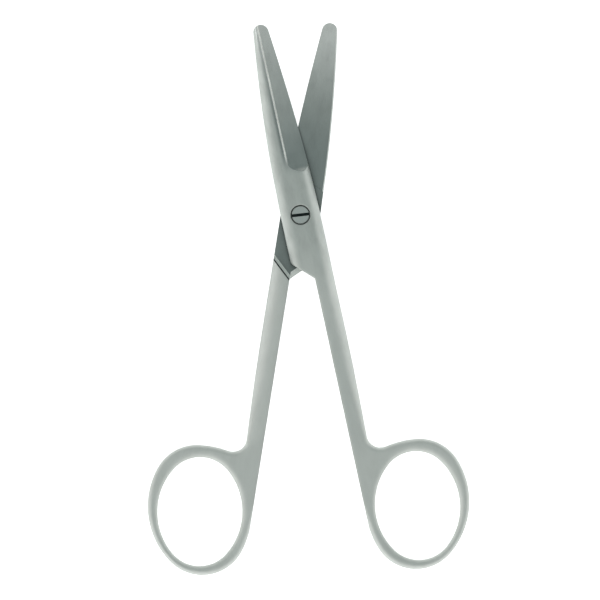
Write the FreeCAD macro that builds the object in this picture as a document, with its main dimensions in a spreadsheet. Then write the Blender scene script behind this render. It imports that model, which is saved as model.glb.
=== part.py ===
"""Curved dissecting scissors, 14 cm: two forged steel halves that cross at a slotted pivot screw.

Millimetres. The origin is where the pivot axis meets the underside of the lock. +Y runs along the middle of
the opening, from the pivot to the tips, +Z is the pivot axis, and the blades curve up towards +Z.
Each half is drawn closed, with its outer face up, its pivot at its own origin and its mating face at height 0.
The back half is the same forging laid on its face, with its blade bent the other way.
"""
import FreeCAD, Part
import math
import os
import re

import Sketcher

Vector = FreeCAD.Vector

doc = FreeCAD.newDocument("DissectingScissors")

# Driving sizes
SIZES = [
    # blade, from the pivot forwards
    ("blade_length", 47.4),          # pivot to tip
    ("blade_root", 6.0),             # pivot to the start of the taper
    ("blade_root_width", 9.4),
    ("blade_tip_width", 3.8),
    ("blade_taper", 1.75),           # power of the taper, 1 is straight
    ("edge_straight", 0.17),         # how far the cutting edge lies inside that taper, halfway
    ("blade_tip_thickness", 1.5),
    ("grinding_stock", 0.75),        # forged below the mating face, and ground off
    ("bend_radius", 90.0),           # curve of the blades, out of their plane
    ("flat_radius", 8.0),            # flat bearing face round the pivot
    ("hollow", 0.1),                 # hollow grinding of the inner face
    ("spine_bevel", 0.3),            # of the inner face's edge along the spine
    # bevel ground on the outer face
    ("ridge_offset", 0.55),          # ridge, from the blade's middle towards its back
    ("edge_land", 0.2),              # thickness left at the cutting edge
    ("root_land", 1.2),              # still left there at the near end of the bevel
    ("land_run_out", 26.0),          # pivot to where the edge is down to its land
    ("bevel_start", 9.8),            # pivot to the near end of the bevel
    ("bevel_run", 5.7),              # length of the scooped end of the bevel
    ("bevel_depth", 1.5),            # depth of the scoop
    ("scoop_power", 5.0),            # squareness of its end
    ("cut_margin", 1.5),             # how far a cut runs on outside the steel
    # lock, the flat overlap round the pivot
    ("lock_width", 9.7),
    ("lock_thickness", 2.65),        # of one half
    ("lock_rear", 11.25),            # pivot to the rear corner
    ("lock_corner", 1.8),            # radius of the rear corner
    ("rear_fall", 0.96),             # fall of the rear edge for each mm of width
    ("crown_reach", 2.45),           # how far the rounding of the outer face reaches in
    ("side_land", 1.0),              # height of the upright side under the rounding
    ("tip_crown_reach", 1.23),       # both at the blade's tip
    ("tip_side_land", 0.7),
    ("shoulder_gap", 0.35),          # from the rear edge of one half to the shoulder of the other
    ("shoulder_ramp", 1.25),         # width of the slant at the foot of the shoulder
    ("ramp_rise", 0.55),
    ("rear_relief", 1.3),            # chamfer that clears the shoulder's slant
    # shank
    ("closed_gap", 0.3),             # between the shanks when the scissors are shut
    ("shank_thickness", 3.3),
    ("shank_land", 0.6),             # upright side between its roundings
    ("shank_end_width", 4.27),
    ("lock_front", 2.25),            # pivot back to where the lock has its full width
    ("lock_rear_rise", 2.57),        # outer face above the mating face, at the rear corner
    ("shank_front", 21.25),          # pivot to the front of the shank
    ("shank_front_rise", 2.12),
    ("shank_straight", 0.63),        # share of the way to the neck, up to which the shank is parallel
    ("shank_late", 0.85),            # share of the way to the neck, where it turns into ring stock
    ("shank_late_swell", 0.22),      # still wider there than at the neck
    ("run_out", 20.1),               # how far the shank's stock runs on inside the ring
    # finger ring
    ("ring_reach", 62.7),            # pivot to the near end of the finger hole
    ("hole_length", 26.8),
    ("hole_width", 20.9),
    ("hole_lean", 8.0),              # degrees, away from the other ring
    ("ring_stock", 2.25),            # beside the hole
    ("ring_end_stock", 2.7),         # before and behind the hole
    ("ring_side_stock", 2.4),        # on the side that faces the other ring
    ("ring_lean", 17.0),             # degrees, of the outside of the ring
    ("ring_end_radius", 11.0),
    ("ring_shift", 0.4),             # middle of the outside, ahead of the middle of the hole
    ("brow_radius", 24.0),           # flatter stretch of the ring beside the shank
    ("brow_turn", 7.0),              # degrees, where the brow leaves the ring's end
    ("neck_radius", 3.4),            # hollow between the shank and the ring
    ("ring_thickness", 3.0),
    ("rim_bevel", 0.7),              # rounding of the rim, laid on as a bevel
    ("rim_corner", 0.25),            # and a small bevel along both its edges
    ("hole_slant", 1.35),            # rounding of the hole's edge, across
    ("hole_drop", 0.9),              # and down
    ("hole_fullness", 0.3),          # how much the hole's ends are blunter than an ellipse
    ("inner_lean", 8.0),             # degrees, of the rim where the flat inner side cuts it
    # pivot screw
    ("head_diameter", 4.3),
    ("head_height", 1.1),
    ("head_sink", 0.05),             # below the outer face
    ("head_gap", 0.3),               # round the head, in its counterbore
    ("seat_gap", 0.02),              # under the head, for an easy turn
    ("journal_diameter", 3.2),
    ("running_gap", 0.04),           # of the journal in the front half, on the radius
    ("thread_diameter", 3.0),
    ("screw_chamfer", 0.25),
    ("slot_width", 0.74),
    ("slot_depth", 0.65),
    ("slot_turn", 4.8),              # degrees
    # pose
    ("opening", 21.3),               # degrees between the halves
]
sheet = doc.addObject("Spreadsheet::Sheet", "Sizes")
for row, (alias, size) in enumerate(SIZES, start=1):
    sheet.set(f"A{row}", alias)
    sheet.set(f"B{row}", str(size))
    sheet.setAlias(f"B{row}", alias)
doc.recompute()
ALIASES = [alias for alias, _ in SIZES]


def value(formula):
    """Number that a formula over the sheet's cells gives now."""
    return float(sheet.evalExpression(named(formula)))


def named(formula):
    """Formula with each size's alias written as the sheet's own cell."""
    def cell(word):
        return "Sizes." + word[0] if word[0] in ALIASES else word[0]
    return re.sub(r"[a-z_]+", cell, str(formula))


def plane(body, role):
    """One of a body's own origin planes."""
    return next(feature for feature in body.Origin.OriginFeatures if feature.Role == role)


def new_sketch(body, name, role, offset="0"):
    """Sketch on an origin plane of the body, moved along the plane's normal by a formula."""
    sketch = body.newObject("Sketcher::SketchObject", name)
    sketch.AttachmentSupport = [(plane(body, role), "")]
    sketch.MapMode = "FlatFace"
    sketch.setExpression(".AttachmentOffset.Base.z", named(offset))
    return sketch


def draw(sketch, corners):
    """Closed outline through corners (x, y), or (x, y, radius, turn) where an arc leaves the corner.

    Turn is 1 for an arc that runs counter-clockwise and -1 for one that runs clockwise.
    """
    first = sketch.GeometryCount
    points = [Vector(value(c[0]), value(c[1]), 0) for c in corners]
    ends = []
    for index, corner in enumerate(corners):
        start, end = points[index], points[(index + 1) % len(points)]
        if len(corner) == 2:
            sketch.addGeometry(Part.LineSegment(start, end))
            ends.append((1, 2))
            continue
        radius, turn = value(corner[2]), corner[3]
        chord = end - start
        left = Vector(-chord.y, chord.x, 0).normalize()
        rise = math.sqrt(max(radius ** 2 - (chord.Length / 2) ** 2, 0.0))
        centre = (start + end) * 0.5 + left * (turn * rise)
        low, high = (start, end) if turn > 0 else (end, start)
        low_angle = math.atan2(low.y - centre.y, low.x - centre.x)
        high_angle = math.atan2(high.y - centre.y, high.x - centre.x)
        if high_angle < low_angle:
            high_angle += 2 * math.pi
        whole = Part.Circle(centre, Vector(0, 0, 1), radius)
        sketch.addGeometry(Part.ArcOfCircle(whole, low_angle, high_angle))
        ends.append((1, 2) if turn > 0 else (2, 1))
    count = len(corners)
    for index in range(count):
        here, after = first + index, first + (index + 1) % count
        joint = (here, ends[index][1], after, ends[(index + 1) % count][0])
        sketch.addConstraint(Sketcher.Constraint("Coincident", *joint))
    for index, corner in enumerate(corners):
        place = (-1, 1, first + index, ends[index][0])
        for axis, formula in (("DistanceX", corner[0]), ("DistanceY", corner[1])):
            number = sketch.addConstraint(Sketcher.Constraint(axis, *place, value(formula)))
            sketch.setExpression(f"Constraints[{number}]", named(formula))
        if len(corner) > 2:
            radius = Sketcher.Constraint("Radius", first + index, value(corner[2]))
            number = sketch.addConstraint(radius)
            sketch.setExpression(f"Constraints[{number}]", named(corner[2]))


def circle(sketch, diameter):
    """Circle on the sketch's origin."""
    number = sketch.addGeometry(Part.Circle(Vector(), Vector(0, 0, 1), value(diameter) / 2))
    sketch.addConstraint(Sketcher.Constraint("Coincident", number, 3, -1, 1))
    size = sketch.addConstraint(Sketcher.Constraint("Diameter", number, value(diameter)))
    sketch.setExpression(f"Constraints[{size}]", named(diameter))


def pocket(body, sketch, name, length, upwards=False):
    """Cut of a given depth, down from the sketch unless it is upwards."""
    cut = body.newObject("PartDesign::Pocket", name)
    cut.Profile = sketch
    cut.setExpression("Length", named(length))
    cut.Reversed = upwards
    return cut


def dress(body, kind, name, size, chosen, second_size=None):
    """Fillet or chamfer on the edges of the body so far that a test picks; a chamfer may have two sizes."""
    doc.recompute()
    base = body.Tip
    edges = [f"Edge{n}" for n, edge in enumerate(base.Shape.Edges, start=1) if chosen(edge)]
    feature = body.newObject("PartDesign::" + kind, name)
    feature.Base = (base, edges)
    feature.setExpression("Radius" if kind == "Fillet" else "Size", named(size))
    if second_size:
        feature.ChamferType = "Two distances"
        feature.setExpression("Size2", named(second_size))
    return feature


def middle_of(edge):
    return edge.valueAt((edge.FirstParameter + edge.LastParameter) / 2)


def at_height(edge, height):
    """True on an edge that lies flat at a height."""
    points = [vertex.Point for vertex in edge.Vertexes] + [middle_of(edge)]
    return all(abs(point.z - height) < 1e-4 for point in points)


def loft(body, kind, name, sections):
    """Smooth loft through sections, added or cut."""
    feature = body.newObject("PartDesign::" + kind, name)
    feature.Profile = sections[0]
    feature.Sections = sections[1:]
    return feature


def crown(reach, height):
    """Radius of an arc that leaves the flat of the outer face tangent and drops by height over reach."""
    return f"(({reach})^2 + ({height})^2) / (2 * ({height}))"


def blade_station(share):
    """Distance of a blade section from the pivot. Share is 0 at the root and 1 at the tip's centre."""
    return f"(blade_root + {share} * (blade_length - blade_tip_width / 2 - blade_root))"


def blade_half_width(share):
    taper = f"(1 - {share}^blade_taper)"
    return f"(blade_tip_width / 2 + (blade_root_width - blade_tip_width) / 2 * {taper})"


def blade_edge(share):
    """Half width on the side of the cutting edge, which is straighter than the spine."""
    return f"({blade_half_width(share)} - 4 * edge_straight * {share} * (1 - {share}))"


def blade_thickness(share):
    return f"(lock_thickness + {share} * (blade_tip_thickness - lock_thickness))"


def bend(distance):
    """Rise of the bent blade at a distance from the pivot that lies past the flat bearing face."""
    return f"(bend_radius - sqrt(bend_radius^2 - ({distance} - flat_radius)^2))"


def bar_section(body, name, distance, side, top, round_top, bottom, round_bottom):
    """Section of the lock and shank: flat in the middle, rounded towards its sides.

    A rounding is how far it reaches in, and the height of the upright side that it leaves.
    """
    left, right = side
    reach, land = round_top
    under_reach, under_land = round_bottom
    top_radius = crown(reach, f"({top}) - ({land})")
    under_radius = crown(under_reach, f"({bottom}) - ({under_land})")
    sketch = new_sketch(body, name, "XZ_Plane", f"-({distance})")
    draw(sketch, [
        (f"-({left})", f"-({bottom})"),
        (f"({right}) - ({under_reach})", f"-({bottom})", under_radius, 1),
        (right, f"-({under_land})"),
        (right, land, top_radius, 1),
        (f"({right}) - ({reach})", top),
        (f"-({left}) + ({reach})", top, top_radius, 1),
        (f"-({left})", land),
    ])
    return sketch


def make_bar(body):
    """Lock and shank as one bar, from the blade's root back to the neck of the ring, and its end in the ring."""
    thick = "lock_thickness"
    under = "shank_thickness / 2"
    lock_side = "lock_width / 2"
    lock_round = ("crown_reach", "side_land")
    shank_round = ("crown_reach", "shank_land")
    side = shank_side()
    ring_half = "ring_thickness / 2"
    ring_side = ("rim_bevel", "ring_thickness / 2 - rim_bevel")
    late_round = ("(crown_reach + rim_bevel) / 2", "(shank_land + ring_thickness / 2 - rim_bevel) / 2")
    late_half = "(shank_thickness + ring_thickness) / 4"
    late_side = side + " + shank_late_swell"
    neck = neck_place()[1]
    stations = [
        ("blade_root", ["blade_root_width / 2"] * 2, thick, lock_round, under, shank_round),
        ("-lock_front", [lock_side] * 2, thick, lock_round, under, shank_round),
        ("-lock_rear", [lock_side] * 2, "lock_rear_rise", lock_round, under, shank_round),
        ("-shank_front", [lock_side] * 2, "shank_front_rise", shank_round, under, shank_round),
        (f"shank_straight * {neck}", [lock_side] * 2, under, shank_round, under, shank_round),
        (f"shank_late * {neck}", [lock_side, late_side], late_half, late_round, late_half, late_round),
        (neck, [lock_side, side], ring_half, ring_side, ring_half, ring_side),
    ]
    sections = [bar_section(body, f"BarSection{n}", *station) for n, station in enumerate(stations)]
    loft(body, "AdditiveLoft", "Bar", sections)
    low = "ring_thickness / 5"
    tail = (f"{neck} - run_out", [lock_side, f"{side} / 2"], low, (low, f"{low} / 2"), low, (low, f"{low} / 2"))
    ends = [bar_section(body, f"BarEndSection{n}", *station) for n, station in enumerate((stations[-1], tail))]
    end = loft(body, "AdditiveLoft", "BarEnd", ends)
    end.Ruled = True


def make_blade(body, bend_sign):
    """Crowned blade, bent out of its plane, before grinding."""
    sections = []
    for number, share in enumerate((0, 0.25, 0.5, 0.75, 1, 1.06)):
        distance = blade_station(share)
        rise = f"{bend_sign} * {bend(distance)}" if share else "0"
        half = blade_half_width(share)
        edge = blade_edge(share)
        reach = f"(crown_reach + {share} * (tip_crown_reach - crown_reach))"
        land = f"(side_land + {share} * (tip_side_land - side_land))"
        thickness = blade_thickness(share)
        radius = crown(reach, f"{thickness} - {land}")
        sketch = new_sketch(body, f"BladeSection{number}", "XZ_Plane", f"-({distance})")
        draw(sketch, [
            (f"-{half}", f"{rise} - grinding_stock"),
            (edge, f"{rise} - grinding_stock"),
            (edge, f"{rise} + {land}", radius, 1),
            (f"{edge} - {reach}", f"{rise} + {thickness}"),
            (f"-{half} + {reach}", f"{rise} + {thickness}", radius, 1),
            (f"-{half}", f"{rise} + {land}"),
        ])
        sections.append(sketch)
    return loft(body, "AdditiveLoft", "Blade", sections)


def grind_inner_face(body, bend_sign):
    """Mating face of the blade: a surface turned about the pivot, so that the halves slide on each other."""
    outer = "(blade_length + 2 * cut_margin)"
    rise = bend(f"({outer})")
    floor = "-2 * blade_length / 3"
    sketch = new_sketch(body, "InnerFaceProfile", "XZ_Plane")
    draw(sketch, [
        ("0", floor),
        (outer, floor),
        (outer, f"{bend_sign} * {rise} + hollow", "bend_radius", -bend_sign),
        ("flat_radius", "hollow"),
        ("flat_radius", "0"),
        ("0", "0"),
    ])
    cut = body.newObject("PartDesign::Groove", "InnerFace")
    cut.Profile = sketch
    cut.ReferenceAxis = (sketch, ["V_Axis"])
    cut.Angle = 180
    return cut


def break_spine_edge(body, bend_sign):
    """Small bevel where the inner face meets the spine."""
    def on_spine(edge):
        point = middle_of(edge)
        distance = math.hypot(point.x, point.y)
        if point.x > 0 or distance < value("2 * flat_radius") or edge.Length < value("blade_root_width"):
            return False
        return abs(point.z - bend_sign * value(bend(distance)) - value("hollow")) < 1e-2

    dress(body, "Chamfer", "SpineBevel", "spine_bevel", on_spine)


def bevel_section(body, name, bend_sign, distance, lift):
    """Section of what the wheel takes off: all that lies above a line from the ridge to the cutting edge."""
    share = f"(({distance} - blade_root) / (blade_length - blade_tip_width / 2 - blade_root))"
    rise = f"{bend_sign} * {bend(distance)}"
    edge = blade_edge(share)
    thickness = blade_thickness(share)
    left = f"max(0; (land_run_out - {distance}) / (land_run_out - bevel_start))"
    land = f"(edge_land + (root_land - edge_land) * {left}^2)"
    slope = f"(({thickness} - hollow - {land}) / ({edge} + ridge_offset))"
    low = f"{rise} + hollow + {land} - cut_margin * {slope} + {lift}"
    high = f"{rise} + {thickness} + cut_margin * {slope} + {lift}"
    sketch = new_sketch(body, name, "XZ_Plane", f"-({distance})")
    draw(sketch, [
        (f"{edge} + cut_margin", low),
        (f"{edge} + cut_margin", high),
        ("-ridge_offset - cut_margin", high),
    ])
    return sketch


def grind_bevel(body, bend_sign):
    """Bevel of the outer face, from the ridge to the cutting edge, with its scooped end at the lock."""
    scoop = []
    for number, left in enumerate((1.1, 0.9, 0.7, 0.5, 0.3, 0.1, 0)):
        distance = f"(bevel_start + bevel_run * (1 - {left}))"
        lift = f"bevel_depth * {left}^scoop_power"
        scoop.append(bevel_section(body, f"ScoopSection{number}", bend_sign, distance, lift))
    loft(body, "SubtractiveLoft", "BevelScoop", scoop)
    run = []
    for number, share in enumerate((0, 0.25, 0.5, 0.75, 1)):
        near = "(bevel_start + bevel_run)"
        distance = f"({near} + {share} * (blade_length + cut_margin - {near}))"
        run.append(bevel_section(body, f"BevelSection{number}", bend_sign, distance, "0"))
    return loft(body, "SubtractiveLoft", "Bevel", run)


def turned(across, along, lean):
    """Point of an oval, its long axis leaning clockwise by a number of degrees."""
    cosine, sine = f"cos({lean} * 1deg)", f"sin({lean} * 1deg)"
    return f"({across}) * {cosine} + ({along}) * {sine}", f"({along}) * {cosine} - ({across}) * {sine}"


def oval(half, long_half, end_radius):
    """Radius of the long sides of an oval of four tangent arcs, and the place of its joint."""
    end = f"({long_half} - {end_radius})"
    side_radius = f"(({end}^2 + {half}^2 - {end_radius}^2) / (2 * ({half} - {end_radius})))"
    across = f"({end_radius} * ({side_radius} - {half}) / ({side_radius} - {end_radius}))"
    along = f"({end} * {side_radius} / ({side_radius} - {end_radius}))"
    return side_radius, across, along


def shank_side():
    """Outer side of the shank, at the neck of the ring."""
    return "(closed_gap / 2 + shank_end_width)"


RING_HALF = "(hole_width / 2 + ring_stock)"
RING_LONG_HALF = "(hole_length / 2 + ring_end_stock)"
RING_SIDE_RADIUS, RING_ACROSS, RING_ALONG = oval(RING_HALF, RING_LONG_HALF, "ring_end_radius")


def ring_middle():
    """Middle of the outside of the ring, whose long side just meets the straight inner side."""
    offset = f"({RING_SIDE_RADIUS} - {RING_HALF})"
    x = f"(closed_gap / 2 + {RING_SIDE_RADIUS} - {offset} * cos(ring_lean * 1deg))"
    return x, "(-ring_reach - hole_length / 2 + ring_shift)"


def ring_point(across, along):
    x, y = turned(across, along, "ring_lean")
    middle_x, middle_y = ring_middle()
    return f"({middle_x} + {x})", f"({middle_y} + {y})"


def brow_place():
    """Middle of the brow's arc, and where it meets the end of the oval."""
    end_x, end_y = ring_point("0", f"{RING_LONG_HALF} - ring_end_radius")
    back = "(brow_radius - ring_end_radius)"
    sine, cosine = "sin(brow_turn * 1deg)", "cos(brow_turn * 1deg)"
    middle = (f"({end_x} - {back} * {sine})", f"({end_y} - {back} * {cosine})")
    joint = (f"({end_x} + ring_end_radius * {sine})", f"({end_y} + ring_end_radius * {cosine})")
    return middle, joint


def neck_place():
    """Middle of the hollow of the neck: it touches the outer side of the shank and the brow."""
    (brow_x, brow_y), _ = brow_place()
    x = f"({shank_side()} + neck_radius)"
    return x, f"({brow_y} + sqrt((brow_radius + neck_radius)^2 - ({brow_x} - {x})^2))"


def make_ring(body):
    """Finger ring: flat oval stock with a bevelled rim. Its side towards the other ring is cut flat later."""
    (brow_x, brow_y), brow_joint = brow_place()
    neck_x, neck_y = neck_place()
    reach = "(brow_radius / (brow_radius + neck_radius))"
    hollow_end = (f"{brow_x} + {reach} * ({neck_x} - {brow_x})", f"{brow_y} + {reach} * ({neck_y} - {brow_y})")
    offset = f"({RING_SIDE_RADIUS} - {RING_HALF})"
    middle_x, middle_y = ring_middle()
    side_x = f"({middle_x} + {offset} * cos(ring_lean * 1deg) - {RING_SIDE_RADIUS} * cos(inner_lean * 1deg))"
    side_y = f"({middle_y} - {offset} * sin(ring_lean * 1deg) - {RING_SIDE_RADIUS} * sin(inner_lean * 1deg))"
    sketch = new_sketch(body, "RingOutline", "XY_Plane", "-ring_thickness / 2")
    draw(sketch, [
        (f"{side_x} - ({neck_y} - {side_y}) * tan(inner_lean * 1deg)", neck_y),
        (shank_side(), neck_y, "neck_radius", 1),
        (*hollow_end, "brow_radius", -1),
        (*brow_joint, "ring_end_radius", -1),
        (*ring_point(RING_ACROSS, RING_ALONG), RING_SIDE_RADIUS, -1),
        (*ring_point(RING_ACROSS, f"-{RING_ALONG}"), "ring_end_radius", -1),
        (*ring_point(f"-{RING_ACROSS}", f"-{RING_ALONG}"), RING_SIDE_RADIUS, -1),
        (side_x, side_y),
    ])
    ring = body.newObject("PartDesign::Pad", "Ring")
    ring.Profile = sketch
    ring.setExpression("Length", named("ring_thickness"))
    face = value("ring_thickness / 2")
    neck = value(neck_y)

    def rim(edge):
        """True on the edges of the two flat faces, apart from the neck's end."""
        flat = at_height(edge, face) or at_height(edge, -face)
        return flat and abs(middle_of(edge).y - neck) > 1e-3

    dress(body, "Chamfer", "RimBevel", "rim_bevel", rim)
    bevel_foot = face - value("rim_bevel")

    def rim_corner(edge):
        """True on both edges of the rim's bevel."""
        flat = at_height(edge, face) or at_height(edge, -face)
        low = at_height(edge, bevel_foot) or at_height(edge, -bevel_foot)
        return (flat or low) and abs(middle_of(edge).y - neck) > 1e-3

    dress(body, "Chamfer", "RimCorners", "rim_corner", rim_corner)


def hole_outline(body, name, spread, height):
    """Outline of the finger hole, or of the wider oval at a distance all round it."""
    half, long_half = "(hole_width / 2)", "(hole_length / 2)"
    blunt = f"(1 + hole_fullness * (1 - {half} / {long_half}))"
    end_radius = f"({half}^2 / {long_half} * {blunt} + {spread})"
    middle = (f"closed_gap / 2 + ring_side_stock + {half}", f"-ring_reach - {long_half}")
    side_radius, across, along = oval(f"({half} + {spread})", f"({long_half} + {spread})", end_radius)
    corners = []
    for right, front, radius in ((1, 1, end_radius), (-1, 1, side_radius), (-1, -1, end_radius), (1, -1, side_radius)):
        x, y = turned(f"{right} * {across}", f"{front} * {along}", "hole_lean")
        corners.append((f"{middle[0]} + {x}", f"{middle[1]} + {y}", radius, 1))
    sketch = new_sketch(body, name, "XY_Plane", height)
    draw(sketch, corners)
    return sketch


def cut_finger_hole(body):
    """Oval finger hole, its edges rounded in three flats."""
    through = hole_outline(body, "HoleOutline", "0", "-ring_thickness")
    pocket(body, through, "FingerHole", "3 * ring_thickness", upwards=True)
    for side, sign in (("Upper", ""), ("Lower", "-")):
        rings = []
        for number, (across, down) in enumerate(((0, 1), (0.13, 0.5), (0.5, 0.13), (1, 0), (2, -0.26))):
            height = f"{sign}(ring_thickness / 2 - {down} * hole_drop)"
            rings.append(hole_outline(body, f"{side}HoleEdge{number}", f"{across} * hole_slant", height))
        loft(body, "SubtractiveLoft", side + "HoleRounding", rings).Ruled = True


def rear_line(across):
    """Place along the half of the slanted rear edge of the lock."""
    return f"(-lock_rear - rear_fall * (({across}) + lock_width / 2))"


def cut_rear_corner(body):
    """Rear edge of the lock, slanted across to the inner edge of the shank, which it then follows."""
    beyond = "-lock_width"
    inner = "closed_gap / 2"
    side = "-lock_width / 2"
    turn = "(90deg - atan(rear_fall))"
    reach = f"(lock_corner * tan({turn} / 2))"
    along = f"({reach} / sqrt(1 + rear_fall^2))"
    end_x = f"({side} + {along})"
    sketch = new_sketch(body, "RearCorner", "XY_Plane", "-shank_thickness")
    draw(sketch, [
        (beyond, f"-lock_rear + {reach}"),
        (side, f"-lock_rear + {reach}", "lock_corner", 1),
        (end_x, rear_line(end_x)),
        (inner, rear_line(inner)),
        (inner, "-ring_reach - hole_length"),
        (beyond, "-ring_reach - hole_length"),
    ])
    pocket(body, sketch, "RearCornerCut", "3 * shank_thickness", upwards=True)


def cut_lap(body):
    """Half lap of the lock: the room for the other half, up to the slanted shoulder with its fillet."""
    def shoulder(across):
        return f"(-lock_rear - rear_fall * (lock_width / 2 - ({across})) - shoulder_gap * sqrt(1 + rear_fall^2))"

    side = "lock_width"
    sketch = new_sketch(body, "Lap", "XY_Plane")
    draw(sketch, [
        (f"-{side}", "0"),
        (f"-{side}", shoulder(f"-{side}")),
        (side, shoulder(side)),
        (side, "0"),
    ])
    pocket(body, sketch, "LapCut", "blade_length")

    def at_shoulder(edge):
        point = middle_of(edge)
        return at_height(edge, 0) and abs(point.y - value(shoulder(str(point.x)))) < 1e-3

    dress(body, "Chamfer", "ShoulderRamp", "ramp_rise", at_shoulder, "shoulder_ramp")


def relieve_rear(body):
    """Slant along the mating side of the rear edge, which clears the fillet of the other half's shoulder."""
    depth = "(rear_relief * sqrt(1 + rear_fall^2))"
    sections = []
    for number, across in enumerate(("-lock_width", "closed_gap / 2")):
        rear = rear_line(across)
        sketch = new_sketch(body, f"ReliefSection{number}", "YZ_Plane", across)
        draw(sketch, [
            (f"{rear} - {depth}", "2 * rear_relief"),
            (f"{rear} - {depth}", "-rear_relief"),
            (f"{rear} + 2 * {depth}", "-rear_relief"),
        ])
        sections.append(sketch)
    loft(body, "SubtractiveLoft", "RearRelief", sections).Ruled = True


def round_tip(body):
    """Blunt round tip."""
    tip_round = "(blade_tip_width / 2)"
    middle = f"(blade_length - {tip_round})"
    side = "blade_tip_width"
    sketch = new_sketch(body, "TipOutline", "XY_Plane", "-blade_length")
    draw(sketch, [
        (f"-{tip_round}", middle, tip_round, -1),
        ("0", "blade_length", tip_round, -1),
        (tip_round, middle),
        (side, middle),
        (side, "blade_length + cut_margin"),
        (f"-{side}", "blade_length + cut_margin"),
        (f"-{side}", middle),
    ])
    pocket(body, sketch, "TipCut", "2 * blade_length", upwards=True)


def forge_half(label, bend_sign):
    """One half, closed, outer face up, before its pivot hole."""
    body = doc.addObject("PartDesign::Body", label)
    make_ring(body)
    make_bar(body)
    cut_finger_hole(body)
    cut_rear_corner(body)
    relieve_rear(body)
    cut_lap(body)
    make_blade(body, bend_sign)
    grind_inner_face(body, bend_sign)
    break_spine_edge(body, bend_sign)
    round_tip(body)
    grind_bevel(body, bend_sign)
    return body


def bore_through(body, name, diameter, floor):
    """Round hole on the pivot axis, from a height in the half up through its outer face."""
    sketch = new_sketch(body, name + "Outline", "XY_Plane", floor)
    circle(sketch, diameter)
    pocket(body, sketch, name, "2 * lock_thickness", upwards=True)


def make_screw():
    """Pivot screw: slotted head, journal for the front half, and the threaded end in the back half."""
    body = doc.addObject("PartDesign::Body", "pivot_screw")
    head_top = "2 * lock_thickness - head_sink"
    head_floor = f"({head_top} - head_height)"
    sketch = new_sketch(body, "ScrewProfile", "XZ_Plane")
    draw(sketch, [
        ("0", "0"),
        ("thread_diameter / 2 - screw_chamfer", "0"),
        ("thread_diameter / 2", "screw_chamfer"),
        ("thread_diameter / 2", "lock_thickness"),
        ("journal_diameter / 2", "lock_thickness"),
        ("journal_diameter / 2", head_floor),
        ("head_diameter / 2", head_floor),
        ("head_diameter / 2", f"{head_top} - screw_chamfer / 2"),
        ("head_diameter / 2 - screw_chamfer / 2", head_top),
        ("0", head_top),
    ])
    turning = body.newObject("PartDesign::Revolution", "Screw")
    turning.Profile = sketch
    turning.ReferenceAxis = (sketch, ["V_Axis"])
    turning.Angle = 360
    slot = new_sketch(body, "SlotOutline", "XY_Plane", head_top)
    half_length, half_width = "head_diameter", "slot_width / 2"
    corners = []
    for right, front in ((1, 1), (-1, 1), (-1, -1), (1, -1)):
        corners.append(turned(f"{right} * {half_length}", f"{front} * {half_width}", "-slot_turn"))
    draw(slot, corners)
    pocket(body, slot, "Slot", "slot_depth")
    return body


front = forge_half("front_half", 1)
bore_through(front, "JournalBore", "journal_diameter + 2 * running_gap", "-lock_thickness")
head_seat = "lock_thickness - head_sink - head_height - seat_gap"
bore_through(front, "Counterbore", "head_diameter + 2 * head_gap", head_seat)
back = forge_half("back_half", -1)
bore_through(back, "ThreadHole", "thread_diameter", "-lock_thickness")
screw = make_screw()

# Both halves meet at mid height of the lock, each turned half the opening; the back one lies on its outer face.
lift = "vector(0; 0; lock_thickness)"
front_turn = "rotation(vector(0; 0; 1); opening / 2 * 1deg)"
back_turn = "rotation(vector(sin(opening / 4 * 1deg); cos(opening / 4 * 1deg); 0); 180deg)"
front.setExpression("Placement", named(f"placement({lift}; {front_turn})"))
back.setExpression("Placement", named(f"placement({lift}; {back_turn})"))
doc.recompute()

for item in doc.Objects:
    if "Invalid" in item.State or "Error" in item.State:
        raise RuntimeError(f"{item.Label} was not made: {item.State}")
os.makedirs("parts", exist_ok=True)
for body in (front, back, screw):
    if body.Shape.isNull() or not body.Shape.isValid():
        raise RuntimeError(f"{body.Label} has no valid shape")
    body.Shape.exportStep(f"parts/{body.Label}.step")
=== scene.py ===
"""Curved dissecting scissors in satin stainless steel, lying part open on a white table, seen from above.

Metres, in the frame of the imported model: the pivot axis is +Z, the tips point to +Y and the blades curve up.
"""
import math

import bpy
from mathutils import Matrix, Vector

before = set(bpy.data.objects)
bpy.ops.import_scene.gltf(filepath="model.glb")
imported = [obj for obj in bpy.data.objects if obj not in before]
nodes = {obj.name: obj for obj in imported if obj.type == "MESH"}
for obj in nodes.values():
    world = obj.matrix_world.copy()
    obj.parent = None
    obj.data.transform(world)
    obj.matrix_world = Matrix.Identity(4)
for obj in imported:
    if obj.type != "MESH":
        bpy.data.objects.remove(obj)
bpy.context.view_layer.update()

scene = bpy.context.scene
MM = 0.001

# Front half, on top: a stainless steel forging, blasted to a satin, with its outer face up. A fine wheel has
# ground its inner face and the long bevel of its blade, from the ridge to the cutting edge, which leaves them
# darker and closer to a mirror. The bevel ends in a scoop at the lock. A thin highlight is painted along the
# ridge.
OPENING = math.radians(21.3)
SATIN = (0.68, 0.715, 0.69, 1)
SHANK_SATIN_LIT = (0.765, 0.79, 0.765, 1)
GROUND = (0.485, 0.52, 0.505, 1)
SLANT_PAINTED_LIGHT = (0.90, 0.93, 0.90, 1)
RIDGE_HIGHLIGHT = (0.97, 0.98, 0.96, 1)
# Near-black colour of painted shade, for gaps, corners and the screw's slot.
PAINTED_SHADE = (0.035, 0.045, 0.045, 1)
CLOUD_SHADE = 0.88
LOCK_EDGE = 0.5 * MM
SHANK_EDGE = 0.9 * MM
DOME_START = 0.3 * MM
DOME_SLOPE = 105
LOCK_ROUGHNESS = 0.60
SHANK_ROUGHNESS = 0.62
BLADE_ROUGHNESS = 0.58
GROUND_ROUGHNESS = 0.22
RIDGE_HIGHLIGHT_ROUGHNESS = 0.95


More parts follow.
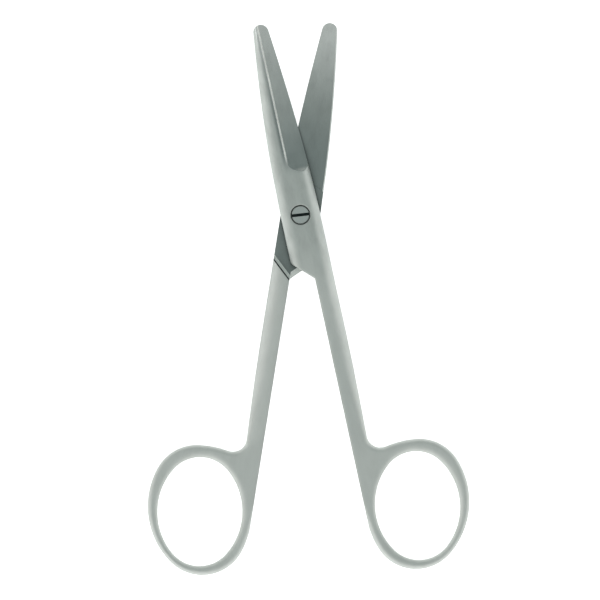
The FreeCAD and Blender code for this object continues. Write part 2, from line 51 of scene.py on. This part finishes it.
class Shader:
    """Short calls to build one material's nodes."""

    def __init__(self, name):
        self.material = bpy.data.materials.new(name)
        self.material.use_nodes = True
        self.tree = self.material.node_tree
        self.surface = self.tree.nodes["Principled BSDF"]
        self.place = self.tree.nodes.new("ShaderNodeTexCoord")

    def node(self, kind, **settings):
        made = self.tree.nodes.new(kind)
        for setting, choice in settings.items():
            setattr(made, setting, choice)
        return made

    def feed(self, socket, source):
        """Links a socket to a source, or gives it a plain number."""
        if hasattr(source, "links"):
            self.tree.links.new(source, socket)
        else:
            socket.default_value = source

    def reckon(self, operation, first, second=0.0, clamp=False):
        made = self.node("ShaderNodeMath", operation=operation, use_clamp=clamp)
        self.feed(made.inputs[0], first)
        self.feed(made.inputs[1], second)
        return made.outputs[0]

    def plus(self, first, second):
        return self.reckon("ADD", first, second)

    def minus(self, first, second):
        return self.reckon("SUBTRACT", first, second)

    def times(self, *parts):
        product = parts[0]
        for part in parts[1:]:
            product = self.reckon("MULTIPLY", product, part)
        return product

    def larger(self, first, second):
        return self.reckon("MAXIMUM", first, second)

    def rest(self, share):
        """What a share leaves of the whole."""
        return self.minus(1.0, share)

    def step(self, source, start, end):
        """0 below start and 1 above end, with a smooth rise between them."""
        made = self.node("ShaderNodeMapRange", interpolation_type="SMOOTHSTEP")
        self.feed(made.inputs["Value"], source)
        self.feed(made.inputs["From Min"], start)
        self.feed(made.inputs["From Max"], end)
        return made.outputs["Result"]

    def turned(self, vector, angle):
        """Vector seen in a half's own frame, along its closed blade."""
        made = self.node("ShaderNodeVectorRotate", rotation_type="Z_AXIS")
        self.feed(made.inputs["Vector"], vector)
        self.feed(made.inputs["Angle"], -angle)
        split = self.node("ShaderNodeSeparateXYZ")
        self.feed(split.inputs[0], made.outputs[0])
        return made.outputs[0], split.outputs

    def noise(self, vector, scale, detail=2.0, roughness=0.5, stretch=None):
        if stretch:
            spread = self.node("ShaderNodeMapping")
            self.feed(spread.inputs["Vector"], vector)
            spread.inputs["Scale"].default_value = stretch
            vector = spread.outputs[0]
        made = self.node("ShaderNodeTexNoise")
        self.feed(made.inputs["Vector"], vector)
        made.inputs["Scale"].default_value = scale
        made.inputs["Detail"].default_value = detail
        made.inputs["Roughness"].default_value = roughness
        return made.outputs["Fac"]

    def crevice(self, reach, start, end):
        """0 in a narrow gap and 1 in the open, by how much stands round a point within a reach; it sets where
        shade is painted.
        """
        made = self.node("ShaderNodeAmbientOcclusion", samples=8)
        made.inputs["Distance"].default_value = reach
        return self.step(made.outputs["AO"], start, end)

    def shade(self, colour, strength):
        """Colour made darker."""
        made = self.node("ShaderNodeMix", data_type="RGBA", blend_type="MULTIPLY")
        self.feed(made.inputs[0], 1.0)
        self.feed(made.inputs[6], colour)
        self.feed(made.inputs[7], (strength, strength, strength, 1))
        return made.outputs[2]

    def bump(self, height, strength, distance, normal=None):
        made = self.node("ShaderNodeBump")
        self.feed(made.inputs["Height"], height)
        self.feed(made.inputs["Strength"], strength)
        self.feed(made.inputs["Distance"], distance)
        if normal:
            self.feed(made.inputs["Normal"], normal)
        return made.outputs[0]

    def blend(self, factor, first, second):
        """Colour or number that goes from first to second."""
        colours = isinstance(first, tuple) or getattr(first, "type", "") == "RGBA"
        made = self.node("ShaderNodeMix", data_type="RGBA" if colours else "FLOAT")
        number = 6 if colours else 2
        self.feed(made.inputs[0], factor)
        self.feed(made.inputs[number], first)
        self.feed(made.inputs[number + 1], second)
        return made.outputs[2 if colours else 0]


# The bevel and the hollow beside its ridge, in the half's own frame: across and along its closed blade.
RIDGE = -0.55 * MM
BEVEL_START = 9.8 * MM
BEVEL_RUN = 5.7 * MM
BEVEL_DEPTH = 1.5 * MM
BEVEL_SLOPE = 0.275
SCOOP_POWER = 5
CROWN_START = 2.32 * MM
CROWN_RADIUS = 2.487 * MM
HOLLOW_EDGES = (-1.3 * MM, -0.45 * MM)
HOLLOW_FADE = (9 * MM, 17 * MM)
RIDGE_HIGHLIGHT_EDGES = (0.1 * MM, 0.32 * MM)
RIDGE_HIGHLIGHT_FADE = (12 * MM, 15 * MM)
SCOOP_BLUR = 0.03 * MM
RIDGE_BLUR = 0.02 * MM
FACING_OUT = (0.3, 0.5)


def bevel_end(shader, across, from_ridge):
    """Distance from the pivot at which the bevel starts, for a place across the blade."""
    past = shader.larger(shader.minus(across, CROWN_START), 0.0)
    flat = shader.minus(CROWN_RADIUS ** 2, shader.times(past, past))
    fall = shader.minus(CROWN_RADIUS, shader.reckon("SQRT", flat))
    cut = shader.minus(shader.times(from_ridge, BEVEL_SLOPE), fall)
    curve = shader.reckon("POWER", shader.reckon("DIVIDE", cut, BEVEL_DEPTH, clamp=True), 1 / SCOOP_POWER)
    return shader.minus(BEVEL_START + BEVEL_RUN, shader.times(curve, BEVEL_RUN))


def outer_grinding(shader, across, along, outward):
    """Ground share of the outer face: the bevel, and the narrow hollow beside its ridge."""
    from_ridge = shader.minus(across, RIDGE)
    past_end = shader.minus(along, bevel_end(shader, across, from_ridge))
    past_end = shader.step(past_end, -SCOOP_BLUR, SCOOP_BLUR)
    bevel = shader.times(past_end, shader.step(from_ridge, -RIDGE_BLUR, RIDGE_BLUR))
    hollow = shader.times(shader.step(from_ridge, *HOLLOW_EDGES), shader.step(along, *HOLLOW_FADE))
    return shader.times(shader.larger(bevel, hollow), shader.step(outward, *FACING_OUT))


def painted_ridge_highlight(shader, across, along, outward):
    """Share of the painted highlight, a thin bright line along the ridge."""
    from_ridge = shader.reckon("ABSOLUTE", shader.minus(across, RIDGE))
    line = shader.rest(shader.step(from_ridge, *RIDGE_HIGHLIGHT_EDGES))
    return shader.times(line, shader.step(along, *RIDGE_HIGHLIGHT_FADE), shader.step(outward, *FACING_OUT))


# The lap's shoulder runs aslant and comes forward by REAR_FALL for each mm across. SHOULDER and SLANT_TOP are
# where its foot and its upper edge cross the middle of the half.
REAR_FALL = 0.96
SHOULDER = -15.25 * MM
SLANT_TOP = -16.2 * MM
SHADOW_LINE_WIDTH = 0.45 * MM
LINE_BLUR = 0.05 * MM
FACING_IN = (0.6, 0.8)
SLANT_FACING_IN = (0.1, 0.3)


def inner_grinding(shader, across, along, outward):
    """Shares of the ground inner face, of the shoulder's slant, and of a painted shadow line at its upper
    edge.
    """
    line = shader.minus(along, shader.times(across, REAR_FALL))
    ahead = shader.step(line, SHOULDER - LINE_BLUR, SHOULDER + LINE_BLUR)
    above = shader.step(line, SLANT_TOP - LINE_BLUR, SLANT_TOP + LINE_BLUR)
    shadow_line_end = SLANT_TOP - SHADOW_LINE_WIDTH
    behind = shader.step(line, shadow_line_end - LINE_BLUR, shadow_line_end + LINE_BLUR)
    inward = shader.times(outward, -1.0)
    lap = shader.times(ahead, shader.step(inward, *FACING_IN))
    seen = shader.step(inward, *SLANT_FACING_IN)
    slant = shader.times(shader.minus(above, ahead), seen)
    shadow_line = shader.times(shader.minus(behind, above), seen)
    return lap, slant, shadow_line


# Where along a half, behind the pivot and ahead of it, the finish of one stretch goes over into the next.
LOCK_TO_SHANK = (-24 * MM, -2 * MM)
LOCK_TO_BLADE = (8 * MM, 22 * MM)
SHANK_TO_RING = (-62 * MM, -54 * MM)
CLOUD = {"scale": 420, "detail": 5, "roughness": 0.6, "stretch": (1, 0.4, 1)}
GRAIN = {"scale": 9000, "detail": 2, "roughness": 0.6}
GRINDING_LINES = {"scale": 900, "detail": 3, "roughness": 0.6, "stretch": (0.15, 6, 1)}
GRINDING_LINES_SHARE = 0.5
CLOUD_EDGES = (0.35, 0.75)
CLOUD_ON_SHANK = 0.4
CLOUD_ROUGHNESS = 0.1
MARK_DEPTH = 0.02 * MM
MARK_STRENGTH = 0.12
SLANT_LIFT = 0.8
# Painted shade in the gap under the other half and in the corner on the slant. Each has how far round a point
# to look, and how open the point is where it is darkest and where it is clear.
UNDER_GAP = (3.5 * MM, 0.25, 1.0)
SLANT_CORNER = (0.3 * MM, 0.4, 0.8)


def steel(name, angle, side):
    """Forged steel of a half at an angle from shut, with its outer face up for side 1, down for side -1."""
    shader = Shader(name)
    spot = shader.place.outputs["Object"]
    vector, place = shader.turned(spot, angle)
    _, normal = shader.turned(shader.place.outputs["Normal"], angle)
    across = shader.times(place[0], side)
    along = place[1]
    outward = shader.times(normal[2], side)
    shank = shader.rest(shader.step(along, *LOCK_TO_SHANK))
    blade = shader.step(along, *LOCK_TO_BLADE)
    lap, slant, shadow_line = inner_grinding(shader, across, along, outward)
    ground = shader.larger(outer_grinding(shader, across, along, outward), lap)
    ridge_highlight = painted_ridge_highlight(shader, across, along, outward)

    cloud = shader.noise(vector, **CLOUD)
    # Painted light: the shank takes a lighter copy of the satin, for the light its domed top catches.
    satin = shader.blend(shank, SATIN, SHANK_SATIN_LIT)
    # A painted highlight: a near-white colour on a thin line along the ridge.
    finish = shader.blend(ridge_highlight, shader.blend(ground, satin, GROUND), RIDGE_HIGHLIGHT)
    clouded = shader.times(shader.step(cloud, *CLOUD_EDGES), shader.blend(shank, 1.0, CLOUD_ON_SHANK))
    finish = shader.blend(clouded, finish, shader.shade(finish, CLOUD_SHADE))
    # Painted light: the slant takes a lighter colour, so that it looks as lit as a level face.
    finish = shader.blend(slant, finish, SLANT_PAINTED_LIGHT)
    # Painted shade: the lap darkens beside the other half's edge, and the slant darkens in its corner.
    under = shader.blend(lap, 1.0, shader.crevice(*UNDER_GAP))
    corner = shader.blend(slant, shader.crevice(*SLANT_CORNER), 1.0)
    # Share left clear of painted shade: outside the gap, the corner and the painted shadow line.
    clear = shader.times(under, corner, shader.rest(shadow_line))
    shader.feed(shader.surface.inputs["Base Color"], shader.blend(clear, PAINTED_SHADE, finish))

    rough = shader.blend(shank, shader.blend(blade, LOCK_ROUGHNESS, BLADE_ROUGHNESS), SHANK_ROUGHNESS)
    rough = shader.blend(ridge_highlight, shader.blend(ground, rough, GROUND_ROUGHNESS), RIDGE_HIGHLIGHT_ROUGHNESS)
    uneven = shader.times(shader.minus(cloud, 0.5), CLOUD_ROUGHNESS)
    shader.feed(shader.surface.inputs["Roughness"], shader.plus(rough, uneven))

    blasted = shader.rest(ground)
    edge = shader.node("ShaderNodeBevel", samples=6)
    shader.feed(edge.inputs["Radius"], shader.times(blasted, shader.blend(shank, LOCK_EDGE, SHANK_EDGE)))
    past = shader.larger(shader.minus(across, DOME_START), 0.0)
    dome = shader.times(past, past, -DOME_SLOPE / 2)
    before_ring = shader.step(along, *SHANK_TO_RING)
    domed = shader.bump(dome, shader.times(blasted, before_ring), 1.0, edge.outputs[0])
    lines = shader.noise(vector, **GRINDING_LINES)
    marks = shader.blend(ground, shader.noise(spot, **GRAIN), shader.times(lines, GRINDING_LINES_SHARE))
    lifted = shader.node("ShaderNodeMix", data_type="VECTOR")
    shader.feed(lifted.inputs[0], shader.times(slant, SLANT_LIFT))
    shader.feed(lifted.inputs[4], shader.bump(marks, MARK_STRENGTH, MARK_DEPTH, domed))
    shader.feed(lifted.inputs[5], Vector((0, 0, -side)))
    shader.feed(shader.surface.inputs["Normal"], lifted.outputs[1])
    shader.surface.inputs["Metallic"].default_value = 1.0
    return shader.material


def dress(node, material):
    """Gives a CAD node its material."""
    slots = nodes[node].data.materials
    slots.clear()
    slots.append(material)


dress("front_half", steel("front_steel", OPENING / 2, 1))

# Back half, underneath: the same forging laid on its face. It shows the inner face of its blade, its lap with
# the slanted shoulder, and its shank and ring. Its bevel is on the side that faces the table.
dress("back_half", steel("back_steel", -OPENING / 2, -1))

# Pivot screw: turned from stainless bar and fixed in the back half. Its head is faced on a lathe, which
# leaves very fine rings, and has a plain slot. The slot and the side of the head have painted shade.
SCREW = (0.60, 0.645, 0.63, 1)
HEAD_TOP = 5.25 * MM
HEAD_UNSHADED = (HEAD_TOP - 0.4 * MM, HEAD_TOP - 0.1 * MM)
HEAD_FOOT = 4 * MM
TURNED_RINGS = 2500
TURNED_WAVER = 1.5
TURNED_DEPTH = 0.15
SCREW_PATCHES = {"scale": 700, "detail": 2}
SCREW_ROUGHNESS = (0.50, 0.62)


def turned_steel():
    shader = Shader("screw_steel")
    spot = shader.place.outputs["Object"]
    rings = shader.node("ShaderNodeTexWave", wave_type="RINGS", rings_direction="Z")
    shader.feed(rings.inputs["Vector"], spot)
    rings.inputs["Scale"].default_value = TURNED_RINGS
    rings.inputs["Distortion"].default_value = TURNED_WAVER
    shader.feed(shader.surface.inputs["Normal"], shader.bump(rings.outputs["Fac"], TURNED_DEPTH, MARK_DEPTH))
    patches = shader.noise(spot, **SCREW_PATCHES)
    shader.feed(shader.surface.inputs["Roughness"], shader.blend(patches, *SCREW_ROUGHNESS))
    split = shader.node("ShaderNodeSeparateXYZ")
    shader.feed(split.inputs[0], spot)
    height = split.outputs[2]
    top = shader.step(height, *HEAD_UNSHADED)
    unshaded = shader.larger(top, shader.reckon("LESS_THAN", height, HEAD_FOOT))
    # Painted shade on the slot and the side of the head. The top and the part below HEAD_FOOT keep the steel's
    # colour.
    shader.feed(shader.surface.inputs["Base Color"], shader.blend(unshaded, PAINTED_SHADE, SCREW))
    shader.surface.inputs["Metallic"].default_value = 1.0
    return shader.material


dress("pivot_screw", turned_steel())

# Table: a plain white sheet, which keeps the scissors' soft shadow. It isn't part of the scissors. It lies a
# hair lower than they do, so that the ground end of the screw doesn't share its plane.
FLOOR_HALF = 1.5
FLOOR_COLOUR = (0.92, 0.92, 0.92, 1)
FLOOR_ROUGHNESS = 0.9
FLOOR_SHINE = 0.1
FLOOR_GLOW = 0.8
FLOOR_GLOW_IN_STEEL = 0.6
FLOOR_DROP = 0.03 * MM


def white_table():
    ends = ((-1, -1), (1, -1), (1, 1), (-1, 1))
    corners = [(x * FLOOR_HALF, y * FLOOR_HALF, -FLOOR_DROP) for x, y in ends]
    sheet = bpy.data.meshes.new("table")
    sheet.from_pydata(corners, [], [(0, 1, 2, 3)])
    table = bpy.data.objects.new("table", sheet)
    scene.collection.objects.link(table)
    shader = Shader("white_table")
    shader.surface.inputs["Base Color"].default_value = FLOOR_COLOUR
    shader.surface.inputs["Roughness"].default_value = FLOOR_ROUGHNESS
    shader.surface.inputs["Specular IOR Level"].default_value = FLOOR_SHINE
    rays = shader.node("ShaderNodeLightPath")
    seen = shader.times(rays.outputs["Is Camera Ray"], FLOOR_GLOW)
    mirrored = shader.times(rays.outputs["Is Glossy Ray"], FLOOR_GLOW_IN_STEEL)
    shader.surface.inputs["Emission Color"].default_value = (1, 1, 1, 1)
    shader.feed(shader.surface.inputs["Emission Strength"], shader.larger(seen, mirrored))
    sheet.materials.append(shader.material)


white_table()

# Light: a white tent all round, darkest near its opening overhead. Its sides glow a little more on the right
# and at the rings' end, and one weak lamp stands at the left of that end. TENT_STEPS gives the tent's colour
# by degrees from the middle of the opening.
TENT_OPENING = Vector((0.24, 0.28, 1)).normalized()
TENT_STEPS = (
    (90, (0.86, 0.86, 0.85)),
    (72, (0.68, 0.69, 0.675)),
    (60, (0.60, 0.62, 0.605)),
    (50, (0.50, 0.53, 0.515)),
    (40, (0.39, 0.43, 0.415)),
    (28, (0.28, 0.325, 0.32)),
    (14, (0.33, 0.375, 0.365)),
)
# Middle of each glow, its reach in degrees, and its strength.
GLOWS = (
    (Vector((1, 0, 0.1)).normalized(), 50, 0.24),
    (Vector((0.1, -0.84, 0.54)).normalized(), 36, 0.28),
)
LAMP_PLACE = Vector((-0.8, -0.6, 0.7))
LAMP_AIM = Vector((0, -0.02, 0))
LAMP_SIZE = 0.5
LAMP_WATTS = 1


def towards(tree, place, axis):
    """How nearly a direction points along an axis: 1 along it, 0 square to it."""
    made = tree.nodes.new("ShaderNodeVectorMath")
    made.operation = "DOT_PRODUCT"
    made.inputs[1].default_value = axis
    tree.links.new(place.outputs["Generated"], made.inputs[0])
    return made.outputs["Value"]


def light_tent():
    world = bpy.data.worlds.new("light_tent")
    world.use_nodes = True
    scene.world = world
    tree = world.node_tree
    place = tree.nodes.new("ShaderNodeTexCoord")
    shade = tree.nodes.new("ShaderNodeValToRGB")
    steps = shade.color_ramp.elements
    steps.remove(steps[1])
    for number, (degrees, strength) in enumerate(TENT_STEPS):
        where = math.cos(math.radians(degrees))
        step = steps.new(where) if number else steps[0]
        step.position = where
        step.color = (*strength, 1)
    tree.links.new(towards(tree, place, TENT_OPENING), shade.inputs["Fac"])
    whole = shade.outputs["Color"]
    for axis, reach, strength in GLOWS:
        glow = tree.nodes.new("ShaderNodeMapRange")
        glow.interpolation_type = "SMOOTHSTEP"
        glow.inputs["From Min"].default_value = math.cos(math.radians(reach))
        glow.inputs["From Max"].default_value = 1
        glow.inputs["To Max"].default_value = strength
        tree.links.new(towards(tree, place, axis), glow.inputs["Value"])
        more = tree.nodes.new("ShaderNodeVectorMath")
        more.operation = "ADD"
        tree.links.new(whole, more.inputs[0])
        tree.links.new(glow.outputs["Result"], more.inputs[1])
        whole = more.outputs[0]
    tree.links.new(whole, tree.nodes["Background"].inputs["Color"])
    tree.nodes["Background"].inputs["Strength"].default_value = 1
    lamp = bpy.data.lights.new("soft_lamp", "AREA")
    lamp.shape = "DISK"
    lamp.size = LAMP_SIZE
    lamp.energy = LAMP_WATTS
    stand = bpy.data.objects.new("soft_lamp", lamp)
    stand.location = LAMP_PLACE
    stand.rotation_euler = (LAMP_AIM - LAMP_PLACE).to_track_quat("-Z", "Y").to_euler()
    scene.collection.objects.link(stand)


light_tent()

# Camera: straight above with a long lens, turned a little so that the scissors lie as in the photograph.
# PIVOT_PIXEL is where the pivot falls in the picture. PIXEL is what one of its pixels covers at VIEW_HEIGHT.
PICTURE_SIDE = 600
PIXEL = 0.2462 * MM
PICTURE_WIDTH = PICTURE_SIDE * PIXEL
PIVOT_PIXEL = (300.45, 214.95)
ROLL = math.radians(-1.605)
LENS = 300
SENSOR = 36
VIEW_HEIGHT = 4 * MM
FAR_LIMIT = 10


def camera_above():
    camera = bpy.data.cameras.new("camera")
    camera.lens = LENS
    camera.sensor_width = SENSOR
    eye = bpy.data.objects.new("camera", camera)
    right = Vector((math.cos(ROLL), math.sin(ROLL), 0))
    up = Vector((-math.sin(ROLL), math.cos(ROLL), 0))
    rightwards = (PICTURE_SIDE / 2 - PIVOT_PIXEL[0]) * PIXEL
    downwards = (PICTURE_SIDE / 2 - PIVOT_PIXEL[1]) * PIXEL
    middle = right * rightwards - up * downwards
    eye.location = middle + Vector((0, 0, VIEW_HEIGHT + PICTURE_WIDTH * LENS / SENSOR))
    eye.rotation_euler = (0, 0, ROLL)
    camera.clip_end = FAR_LIMIT
    scene.collection.objects.link(eye)
    scene.camera = eye


camera_above()
scene.view_settings.view_transform = "Standard"
